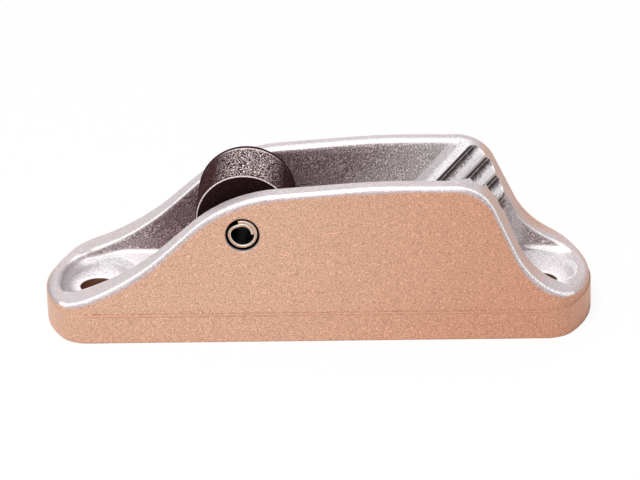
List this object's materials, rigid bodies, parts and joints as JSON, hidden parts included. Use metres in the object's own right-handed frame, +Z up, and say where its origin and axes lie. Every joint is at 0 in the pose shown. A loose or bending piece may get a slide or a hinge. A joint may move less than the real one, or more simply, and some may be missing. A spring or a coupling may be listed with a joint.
{
  "type": "jam cleat",
  "caption": "Cast alloy jam cleat for rope: open channel with slanted converging teeth at one end, a roller fairlead on a coiled pin at the other, and a screw seat at each end.",
  "frame": {"origin": "middle of the flat underside", "axes": "+X along the rope towards the toothed end, +Y across to the far wall, +Z up out of the open channel"},
  "size_m": [0.082, 0.025, 0.024],
  "materials": {
    "cast_alloy": "satin, fine blasted, clear anodised",
    "roller_polymer": "turned, matt",
    "pin_steel": "rolled strip, satin"
  },
  "bodies": {
    "cleat": {"cleat_body": "cast_alloy", "roller_pin": "pin_steel"},
    "roller": {"roller": "roller_polymer"}
  },
  "joints": [
    {"name": "roller_spin", "type": "hinge", "parent": "cleat", "child": "roller", "pos_m": [-0.0105, 0, 0.0167], "axis": [0, 1, 0], "continuous": true}
  ]
}
